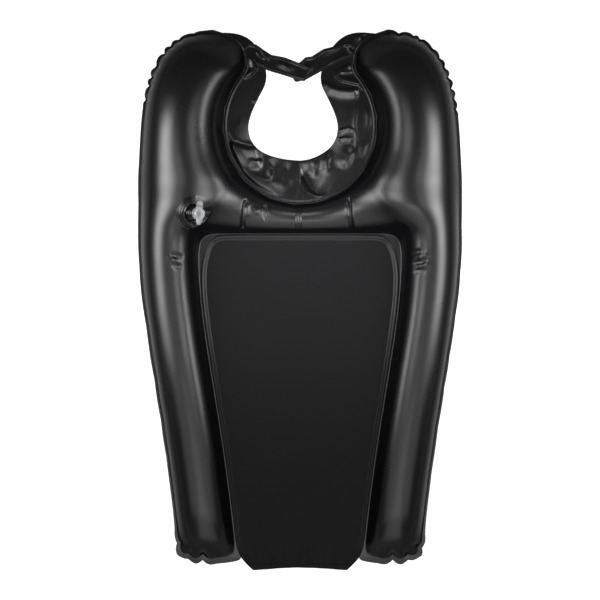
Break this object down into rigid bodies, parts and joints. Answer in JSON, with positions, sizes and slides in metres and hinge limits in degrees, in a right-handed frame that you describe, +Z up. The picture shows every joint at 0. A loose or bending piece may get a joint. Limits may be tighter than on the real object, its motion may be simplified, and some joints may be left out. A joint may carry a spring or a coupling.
{
  "type": "portable shampoo basin",
  "caption": "Inflatable black film tray with a notched neck collar, closing tabs, a flat draining floor that is open at one end, and a mouth valve.",
  "frame": {"origin": "middle of the bounding box's bottom, on the table that the tray lies on", "axes": "+Y from the open drain end to the neck collar, +Z up from the table, +X to the right seen from above with the collar at the far end"},
  "size_m": [0.43, 0.72, 0.1129],
  "materials": {
    "black_film": "glossy",
    "matt_film": "matt, finely grained",
    "soft_black": "satin",
    "clear_plastic": "clear and glossy",
    "hook_loop": "matt pile"
  },
  "bodies": {
    "shell": {"upper_skin_left": "black_film", "upper_skin_right": "black_film", "lower_skin_left": "black_film", "lower_skin_right": "black_film", "bridge_seam_tape_upper": "black_film", "bridge_seam_tape_lower": "black_film", "floor_panel": "matt_film", "collar_left": "black_film", "collar_right": "black_film", "collar_seam_tape": "black_film", "valve_flange": "soft_black", "valve_boot": "soft_black"},
    "left_tab": {"left_tab": "black_film", "hook_pad": "hook_loop"},
    "right_tab": {"right_tab": "black_film", "loop_pad": "hook_loop"},
    "valve_stem": {"valve_stem": "clear_plastic", "plug_tether": "clear_plastic"},
    "valve_plug": {"valve_plug": "clear_plastic"},
    "check_flap": {"check_flap": "clear_plastic"}
  },
  "joints": [
    {"name": "left_tab_swing", "type": "hinge", "parent": "shell", "child": "left_tab", "pos_m": [-0.062, 0.32769, 0.05132], "axis": [0, -0.0336, 0.9994], "range_deg": [0, 80]},
    {"name": "right_tab_swing", "type": "hinge", "parent": "shell", "child": "right_tab", "pos_m": [0.062, 0.32769, 0.05132], "axis": [0, 0.0336, -0.9994], "range_deg": [0, 80]},
    {"name": "stem_push", "type": "slide", "parent": "shell", "child": "valve_stem", "axis": [0.4216, -0.1001, 0.9012], "range_m": [-0.012, 0], "deforming": ["valve_boot"]},
    {"name": "plug_pull", "type": "slide", "parent": "valve_stem", "child": "valve_plug", "axis": [0.4216, -0.1001, 0.9012], "range_m": [0, 0.012], "deforming": ["plug_tether"]},
    {"name": "check_flap_swing", "type": "hinge", "parent": "valve_stem", "child": "check_flap", "pos_m": [-0.14436, 0.12141, 0.08058], "axis": [0.9063, 0.0142, -0.4224], "range_deg": [0, 60], "stiffness_Nm_per_rad": 0.00002, "springref_deg": -28.65}
  ]
}
